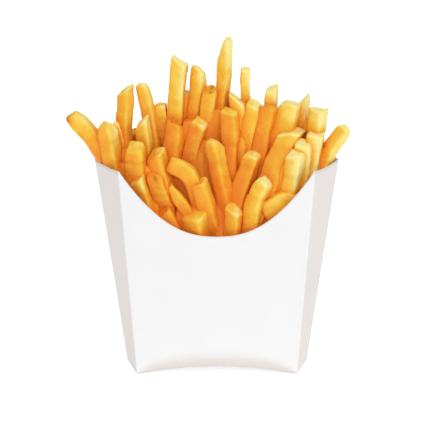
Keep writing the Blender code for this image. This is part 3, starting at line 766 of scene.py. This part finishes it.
def draw_fry(form, fry):
    """Add one fry to a bmesh: its skin from tip to foot and both its ends."""
    layers = [form.verts.layers.float[label] for label in LAYERS]
    rings = [draw_ring(form, layers, fry, spot) for spot in ring_spots(fry.line, fry.lengths)]
    for high, low in zip(rings, rings[1:]):
        join_rings(form, high, low, -1)
    close_end(form, layers, rings[0], 1, fry.offset)
    close_end(form, layers, rings[-1], -1, fry.offset)


def unevenness(place, heights):
    """The sum of several roughnesses at a place, each with its own height and grain."""
    return sum(height * noise.noise(place * grain) for height, grain in heights)


def relief(place, corner, hollow):
    """How far the skin stands out at a place, with the hollow that its face has."""
    return unevenness(place, SKIN_RELIEF) - hollow * (1 - corner**2)


def close_end(form, layers, ring, direction, offset):
    """Close an end with shrinking rings, rough as a cut or broken face is."""
    edge, *others = layers
    centre = sum((vert.co for vert in ring), Vector()) / len(ring)
    normal = (ring[0].co - centre).cross(ring[len(ring) // 4].co - centre).normalized() * direction
    outer = ring
    for share in END_RINGS:
        inner = []
        for vert in ring:
            place = centre.lerp(vert.co, share)
            rise = unevenness(place + offset, END_ROUGHNESS) * (1 - share**4)
            rise += END_DOME * (1 - share)
            point = form.verts.new(place + normal * rise)
            point[edge] = 0.0
            for layer in others:
                point[layer] = vert[layer]
            inner.append(point)
        join_rings(form, outer, inner, direction)
        outer = inner
    middle = form.verts.new(sum((vert.co for vert in outer), Vector()) / len(outer))
    for layer in layers:
        middle[layer] = outer[0][layer]
    for i in range(len(outer)):
        pair = (outer[i], outer[(i + 1) % len(outer)])
        form.faces.new((middle, *pair) if direction < 0 else (middle, *reversed(pair)))


def join_rings(form, outer, inner, direction):
    """Join two rings with faces; the direction says which way round the faces run."""
    count = len(outer)
    for i in range(count):
        corners = (outer[i], outer[(i + 1) % count], inner[(i + 1) % count], inner[i])
        form.faces.new(corners if direction < 0 else tuple(reversed(corners)))


def draw_fries(fries, first_seed):
    form = bmesh.new()
    for layer in LAYERS:
        form.verts.layers.float.new(layer)
    for i, (name, values) in enumerate(fries.items()):
        draw_fry(form, Fry(name, first_seed + i, *values))
    bmesh.ops.recalc_face_normals(form, faces=form.faces)
    form.normal_update()
    return form


def beside_wall(point):
    """How far a place lies in the shade of the carton's wall, 0 free to 1 deep behind it."""
    half_depth = blend(FOOT_HALF_DEPTH, RIM_HALF_DEPTH, min(1.0, point.z / RIM_HEIGHT))
    near = smooth(WALL_NEAR - (half_depth - abs(point.y)) / WALL_RUN)
    return near * smooth((wall_above(point) + WALL_OVER - point.z) / WALL_RUN)


def closed_in(crowd, vert):
    """How closely the heap crowds a place of the skin, 0 free to 1 closed in."""
    beside = vert.normal.orthogonal().normalized()
    across = vert.normal.cross(beside)
    start = vert.co + vert.normal * TUCK_START
    closed = 0.0
    for turn in TUCK_TURNS:
        probe = vert.normal * TUCK_OUT + (beside * cos(turn) + across * sin(turn)) * TUCK_ASIDE
        hit = crowd.ray_cast(start, probe, TUCK_REACH)
        if hit[0] is not None:
            closed += 1 - hit[3] / TUCK_REACH
    return closed / len(TUCK_TURNS)


def evened_out(form, layer):
    """Give each vertex the mean of what its neighbours store in a layer."""
    means = [sum(edge.other_vert(vert)[layer] for edge in vert.link_edges) / len(vert.link_edges)
             for vert in form.verts]
    for vert, mean in zip(form.verts, means):
        vert[layer] = mean


def mark_tucked(forms, core):
    """Store the skin's painted shade: full below the visible heap, and where fries crowd it, it faces from
    the light or it lies by the wall.
    """
    places, faces = [], []
    for form in (*forms, core):
        first = len(places)
        form.verts.index_update()
        places += [vert.co.copy() for vert in form.verts]
        faces += [[first + vert.index for vert in face.verts] for face in form.faces]
    crowd = BVHTree.FromPolygons(places, faces)
    for form in forms:
        tucked = form.verts.layers.float["tucked"]
        for vert in form.verts:
            if vert.co.z < HIDDEN_BELOW - HIDDEN_MARGIN:
                vert[tucked] = 1.0
                continue
            away = 0.5 - vert.normal.dot(PAINTED_LIGHT_SIDE)
            shade = PAINTED_LIGHT_SIDE_SHARE * away
            vert[tucked] = closed_in(crowd, vert) + shade + WALL_SHADE_SHARE * beside_wall(vert.co)
        for _ in range(TUCK_PASSES):
            evened_out(form, tucked)


def core_place(ruling, facing, level):
    """A place on the core's side, 0 low to 1 high; the core's top slopes down to the front."""
    top_share = 0.5 + 0.5 * facing * ruling.foot.y / FOOT_HALF_DEPTH
    top = blend(CORE_FRONT_HEIGHT, CORE_BACK_HEIGHT, top_share)
    height = blend(VAULT_RISE + CORE_INSET, top, level)
    share = height / RIM_HEIGHT
    point = ruling.foot.lerp(ruling.head, share)
    reach_x = blend(FOOT_SIDE, RIM_SIDE, share)
    reach_y = blend(FOOT_HALF_DEPTH, RIM_HALF_DEPTH, share)
    return (point.x * (1 - CORE_SIDE_INSET * CORE_INSET / reach_x),
            facing * point.y * (1 - CORE_INSET / reach_y), height)


def draw_core():
    """The heap below the fries' visible lengths, as one plain body."""
    form = bmesh.new()
    rulings = half_section()[::CORE_STRIDE]
    loop = [(ruling, -1) for ruling in rulings] + [(ruling, 1) for ruling in reversed(rulings[1:-1])]
    rings = []
    for level in range(CORE_LEVELS + 1):
        rings.append([form.verts.new(core_place(*side, level / CORE_LEVELS)) for side in loop])
    for low, high in zip(rings, rings[1:]):
        join_rings(form, low, high, -1)
    form.faces.new(list(reversed(rings[0])))
    form.faces.new(rings[-1])
    bmesh.ops.triangulate(form, faces=[face for face in form.faces if len(face.verts) > 4])
    return form


# Materials

# The contrast and the level of the speckle's patches
CLOUD_CONTRAST = 2.2
CLOUD_LEVEL = -0.6

# Each kind of board: its light and its dark tone, its roughness, the size of its
# patches, the height of its relief in metres, and how much painted shade it takes
BOARDS = {
    "white_board": ((0.794, 0.796, 0.8, 1.0), (0.778, 0.776, 0.776, 1.0), 0.42, 6.0, 0.00004, 0.6),
    # board_inside is paler than the outer board: painted light that lifts the shade inside the carton
    "board_inside": ((0.95, 0.94, 0.92, 1.0), (0.92, 0.905, 0.87, 1.0), 0.6, 5.0, 0.00005, 0.1),
    "board_edge": ((0.93, 0.92, 0.89, 1.0), (0.86, 0.84, 0.8, 1.0), 0.75, 1.0, 0.00005, 0.6),
    "floor": ((0.97, 0.97, 0.97, 1.0), (0.955, 0.955, 0.955, 1.0), 0.7, 60.0, 0.0001, 0.6),
}
# Painted shade on the board where it turns to the side or is tucked in at its foot,
# and a painted highlight along its folds with how strongly it shows
PAINTED_BOARD_SHADE = (0.65, 0.58, 0.545, 1.0)
FOLD_HIGHLIGHT = (0.87, 0.87, 0.865, 1.0)
FOLD_HIGHLIGHT_SHARE = 0.8
BOARD_BUMP = 0.25
BOARD_ROUGHNESS_RUN = 0.12

# The skin's colours from lightly to deeply fried
SKIN_TONES = (
    (0.0, (0.9, 0.78, 0.28)), (0.15, (0.88, 0.655, 0.135)), (0.38, (0.86, 0.52, 0.054)),
    (0.62, (0.84, 0.4, 0.032)), (0.85, (0.83, 0.305, 0.026)), (1.0, (0.82, 0.25, 0.024)))
# The deep orange that the painted shade mixes in
PAINTED_SKIN_SHADE_TONE = (0.96, 0.3, 0.026, 1.0)
SPECK_TONE = (0.74, 0.3, 0.02, 1.0)
SPECK_SHARE = 0.2
SPECK_CONTRAST = 3.0
SPECK_LEVEL = -2.1
DARK_SPOT_TONE = (0.5, 0.15, 0.012, 1.0)
# The core's deep orange is painted shade, standing for fries deep in the heap
CORE_TONES = ((0.9, 0.25, 0.012, 1.0), (0.88, 0.32, 0.015, 1.0))
# How much patches, the painted shade of crowded skin, the painted highlight of ridges and
# pale cut ends change how deep the skin's colour is
PATCH_SHARE = 0.3
MIDDLE_PALER = -0.15
BROAD_PALER = -0.2
PAINTED_SHADE_ON_PALE = 0.42
PAINTED_SHADE_LEAST = 0.38
RIDGE_HIGHLIGHT = 0.09
CUT_PALER = 0.3
# The skin's patches, its shine and its relief in metres, and those of the core
SKIN_PATCH = 5.0
SKIN_ROUGHNESS = 0.36
SKIN_ROUGHNESS_RUN = 0.18
SKIN_IOR = 1.4
SKIN_SPECULAR = 0.2
SKIN_BUMP = 0.5
SKIN_DEPTH = 0.00025
LUMP_SHARE = 1.5
CORE_PATCH = 7.0
CORE_ROUGHNESS = 0.45
CORE_ROUGHNESS_RUN = 0.2
CORE_BUMP = 0.6
CORE_DEPTH = 0.0008


def new_group(name, inputs, outputs):
    """A shader node group with named number, colour and vector sockets."""
    kinds = {"number": "NodeSocketFloat", "colour": "NodeSocketColor", "vector": "NodeSocketVector"}
    group = bpy.data.node_groups.new(name, "ShaderNodeTree")
    for label, kind, default in inputs:
        socket = group.interface.new_socket(label, in_out="INPUT", socket_type=kinds[kind])
        if default is not None:
            socket.default_value = default
    for label, kind in outputs:
        group.interface.new_socket(label, in_out="OUTPUT", socket_type=kinds[kind])
    return group, group.nodes.new("NodeGroupInput"), group.nodes.new("NodeGroupOutput")


def add_node(tree, kind, **settings):
    """Add a node; each setting names a property, or an input with spaces as underscores."""
    node = tree.nodes.new(kind)
    for label, value in settings.items():
        if hasattr(node, label):
            setattr(node, label, value)
        else:
            node.inputs[label.replace("_", " ")].default_value = value
    return node


def calculate(tree, operation, first, second=None, third=None, clamp=False):
    node = tree.nodes.new("ShaderNodeMath")
    node.operation = operation
    node.use_clamp = clamp
    for socket, value in zip(node.inputs, (first, second, third)):
        if isinstance(value, (int, float)):
            socket.default_value = value
        elif value is not None:
            tree.links.new(value, socket)
    return node.outputs[0]


def mix_colour(tree, share, first, second):
    node = tree.nodes.new("ShaderNodeMix")
    node.data_type = "RGBA"
    for socket, value in ((node.inputs[0], share), (node.inputs[6], first), (node.inputs[7], second)):
        if isinstance(value, (int, float, tuple)):
            socket.default_value = value
        else:
            tree.links.new(value, socket)
    return node.outputs[2]


def speckle_group():
    """Soft mottling over a surface: broad, middle and fine patches, about 0 to 1 each."""
    group, given, out = new_group(
        "Speckle", [("Place", "vector", None), ("Patch size mm", "number", 5.0)],
        [("Broad", "number"), ("Middle", "number"), ("Fine", "number")])
    scale = calculate(group, "DIVIDE", 1000.0, given.outputs["Patch size mm"])
    for label, finer in (("Broad", 0.3), ("Middle", 1.0), ("Fine", 4.0)):
        cloud = add_node(group, "ShaderNodeTexNoise", Detail=3.0, Roughness=0.55)
        group.links.new(given.outputs["Place"], cloud.inputs["Vector"])
        group.links.new(calculate(group, "MULTIPLY", scale, finer), cloud.inputs["Scale"])
        patches = calculate(group, "MULTIPLY_ADD", cloud.outputs["Fac"], CLOUD_CONTRAST, CLOUD_LEVEL,
                            clamp=True)
        group.links.new(patches, out.inputs[label])
    return group


def speckled(tree, speckle, patch):
    """The speckle over an object's surface, with patches of a size in millimetres."""
    cloud = add_node(tree, "ShaderNodeGroup", node_tree=speckle, Patch_size_mm=patch)
    place = tree.nodes.new("ShaderNodeTexCoord").outputs["Object"]
    tree.links.new(place, cloud.inputs["Place"])
    return cloud.outputs


def painted_board_light_group():
    """Painted shade on the board's facets and tucked-in foot, and a painted highlight on its folds."""
    group, given, out = new_group(
        "Painted board light", [("Colour", "colour", None), ("Painted board shade", "number", 0.0),
                         ("Facet share", "number", 0.6), ("Fold highlight", "number", 0.0)],
        [("Colour", "colour")])
    facet = calculate(group, "MULTIPLY", given.outputs["Painted board shade"], given.outputs["Facet share"])
    colour = mix_colour(group, facet, given.outputs["Colour"], PAINTED_BOARD_SHADE)
    fold = calculate(group, "MULTIPLY", given.outputs["Fold highlight"], FOLD_HIGHLIGHT_SHARE)
    group.links.new(mix_colour(group, fold, colour, FOLD_HIGHLIGHT), out.inputs["Colour"])
    return group


def attribute(tree, name):
    return add_node(tree, "ShaderNodeAttribute", attribute_name=name).outputs["Fac"]


def principled(name):
    material = bpy.data.materials.new(name)
    material.use_nodes = True
    return material, material.node_tree, material.node_tree.nodes["Principled BSDF"]


def colour_ramp(tree, value, stops):
    ramp = tree.nodes.new("ShaderNodeValToRGB")
    elements = ramp.color_ramp.elements
    while len(elements) < len(stops):
        elements.new(0.5)
    for element, (place, colour) in zip(elements, stops):
        element.position = place
        element.color = (*colour, 1.0)
    tree.links.new(value, ramp.inputs[0])
    return ramp.outputs[0]


def roughened(tree, shader, cloud, run, least):
    """Let the finest speckle vary the roughness over a run from its least value."""
    rough = calculate(tree, "MULTIPLY_ADD", cloud["Fine"], run, least)
    tree.links.new(rough, shader.inputs["Roughness"])


def bumped(tree, shader, height, strength, distance):
    bump = add_node(tree, "ShaderNodeBump", Strength=strength, Distance=distance)
    tree.links.new(height, bump.inputs["Height"])
    tree.links.new(bump.outputs["Normal"], shader.inputs["Normal"])


def fried_and_shaded_depth(tree, cloud, painted_shade_by):
    """How deep the skin's colour is, 0 pale to 1 deep, from frying with painted shade and highlights, and the
    painted shade alone.
    """
    patchy = calculate(tree, "MULTIPLY_ADD", cloud["Middle"], PATCH_SHARE, MIDDLE_PALER)
    broad = calculate(tree, "MULTIPLY_ADD", cloud["Broad"], PATCH_SHARE, BROAD_PALER)
    depth = calculate(tree, "ADD", attribute(tree, "doneness"), patchy)
    depth = calculate(tree, "ADD", depth, broad)
    pale = calculate(tree, "SUBTRACT", 1.0, depth, clamp=True)
    turning = calculate(tree, "MULTIPLY_ADD", pale, PAINTED_SHADE_ON_PALE, PAINTED_SHADE_LEAST)
    painted_skin_shade = calculate(tree, "MULTIPLY", painted_shade_by, turning)
    depth = calculate(tree, "ADD", depth, painted_skin_shade)
    # Painted highlight along the ridges
    ridges = calculate(tree, "MULTIPLY", attribute(tree, "edge"), RIDGE_HIGHLIGHT)
    depth = calculate(tree, "SUBTRACT", depth, ridges)
    cuts = calculate(tree, "MULTIPLY", attribute(tree, "tip"), CUT_PALER)
    return calculate(tree, "SUBTRACT", depth, cuts, clamp=True), painted_skin_shade


def fried_skin(speckle):
    """Golden skin: painted highlights on ridges, pale cut ends, painted shade where fries crowd it, and dark
    spots.
    """
    material, tree, shader = principled("fried_skin")
    cloud = speckled(tree, speckle, SKIN_PATCH)
    depth, painted_skin_shade = fried_and_shaded_depth(tree, cloud, attribute(tree, "tucked"))
    colour = colour_ramp(tree, depth, SKIN_TONES)
    colour = mix_colour(tree, calculate(tree, "MAXIMUM", painted_skin_shade, 0.0), colour, PAINTED_SKIN_SHADE_TONE)
    specks = calculate(tree, "MULTIPLY_ADD", cloud["Fine"], SPECK_CONTRAST, SPECK_LEVEL, clamp=True)
    colour = mix_colour(tree, calculate(tree, "MULTIPLY", specks, SPECK_SHARE), colour, SPECK_TONE)
    colour = mix_colour(tree, attribute(tree, "dark_spot"), colour, DARK_SPOT_TONE)
    tree.links.new(colour, shader.inputs["Base Color"])
    roughened(tree, shader, cloud, SKIN_ROUGHNESS_RUN, SKIN_ROUGHNESS)
    lumps = calculate(tree, "MULTIPLY", cloud["Middle"], LUMP_SHARE)
    height = calculate(tree, "ADD", cloud["Fine"], lumps)
    bumped(tree, shader, height, SKIN_BUMP, SKIN_DEPTH)
    shader.inputs["IOR"].default_value = SKIN_IOR
    shader.inputs["Specular IOR Level"].default_value = SKIN_SPECULAR
    return material


def deep_skin(speckle):
    """The skin of the core, in the shade under the fries."""
    material, tree, shader = principled("deep_skin")
    cloud = speckled(tree, speckle, CORE_PATCH)
    colour = mix_colour(tree, cloud["Middle"], *CORE_TONES)
    tree.links.new(colour, shader.inputs["Base Color"])
    roughened(tree, shader, cloud, CORE_ROUGHNESS_RUN, CORE_ROUGHNESS)
    bumped(tree, shader, cloud["Middle"], CORE_BUMP, CORE_DEPTH)
    return material


def paperboard(name, speckle, painted_board_light):
    """Bleached board: a faint cloudiness, fibres in the surface, a silky shine, painted shade and highlight.
    """
    light, dark, roughness, patch, relief_height, facet_share = BOARDS[name]
    material, tree, shader = principled(name)
    cloud = speckled(tree, speckle, patch)
    tone = add_node(tree, "ShaderNodeGroup", node_tree=painted_board_light, Facet_share=facet_share)
    tree.links.new(mix_colour(tree, cloud["Broad"], dark, light), tone.inputs["Colour"])
    tree.links.new(attribute(tree, "facet"), tone.inputs["Painted board shade"])
    tree.links.new(attribute(tree, "fold"), tone.inputs["Fold highlight"])
    tree.links.new(tone.outputs["Colour"], shader.inputs["Base Color"])
    roughened(tree, shader, cloud, BOARD_ROUGHNESS_RUN, roughness)
    bumped(tree, shader, cloud["Fine"], BOARD_BUMP, relief_height)
    return material


# The stage: the floor's half size in metres and its glow, the sky, the sun and, in
# metres too, how near the camera still sees
FLOOR_SIZE = 6.0
FLOOR_GLOW = 0.3
WHITE = (1.0, 1.0, 1.0, 1.0)
SKY_STRENGTH = 0.68
SUN_PLACE = Vector((0.2, -0.6, 0.8))
SUN_STRENGTH = 1.1
SUN_ANGLE = radians(60)
NEAREST_SEEN = 0.01


def make_floor(speckle, painted_board_light):
    """A plain pale floor with a faint glow, as a light table has, so that its shadow is soft."""
    mesh = bpy.data.meshes.new("floor")
    corners = [(FLOOR_SIZE * x, FLOOR_SIZE * y, 0) for x, y in ((-1, -1), (1, -1), (1, 1), (-1, 1))]
    mesh.from_pydata(corners, [], [(0, 1, 2, 3)])
    floor = bpy.data.objects.new("floor", mesh)
    material = paperboard("floor", speckle, painted_board_light)
    shader = material.node_tree.nodes["Principled BSDF"]
    shader.inputs["Emission Color"].default_value = WHITE
    shader.inputs["Emission Strength"].default_value = FLOOR_GLOW
    mesh.materials.append(material)
    bpy.context.scene.collection.objects.link(floor)


def add_sun():
    lamp = bpy.data.lights.new("key", "SUN")
    lamp.energy = SUN_STRENGTH
    lamp.angle = SUN_ANGLE
    sun = bpy.data.objects.new("key", lamp)
    sun.location = SUN_PLACE
    sun.rotation_euler = (-SUN_PLACE).to_track_quat("-Z", "Y").to_euler()
    bpy.context.scene.collection.objects.link(sun)


def make_light():
    world = bpy.data.worlds.new("studio")
    world.use_nodes = True
    sky = world.node_tree.nodes["Background"]
    sky.inputs["Color"].default_value = WHITE
    sky.inputs["Strength"].default_value = SKY_STRENGTH
    bpy.context.scene.world = world
    add_sun()


def make_camera():
    eye = eye_over(Vector((CARTON_OFFSET, -FOOT_HALF_DEPTH, 0)))
    turn = Matrix((RIGHT, UPWARD, -SIGHT)).transposed().to_4x4()
    camera = bpy.data.objects.new("camera", bpy.data.cameras.new("camera"))
    camera.data.sensor_width = SENSOR_WIDTH
    camera.data.lens = SENSOR_WIDTH * EYE_DISTANCE / FRAME_WIDTH
    camera.data.clip_start = NEAREST_SEEN
    camera.matrix_world = Matrix.Translation(eye * MM) @ turn
    bpy.context.scene.collection.objects.link(camera)
    bpy.context.scene.camera = camera


def main():
    speckle, painted_board_light = speckle_group(), painted_board_light_group()
    boards = ("white_board", "board_inside", "board_edge")
    make_carton(*(paperboard(name, speckle, painted_board_light) for name in boards))
    skin = fried_skin(speckle)
    core = draw_core()
    heap = {name: draw_fries(*group) for name, group in GROUPS.items()}
    mark_tucked(heap.values(), core)
    for name, form in heap.items():
        add_piece(name, form, (skin,), "fries")
    add_piece("fries_core", core, (deep_skin(speckle),), "fries")
    make_floor(speckle, painted_board_light)
    make_light()
    make_camera()
    bpy.context.scene.view_settings.view_transform = "Standard"


main()
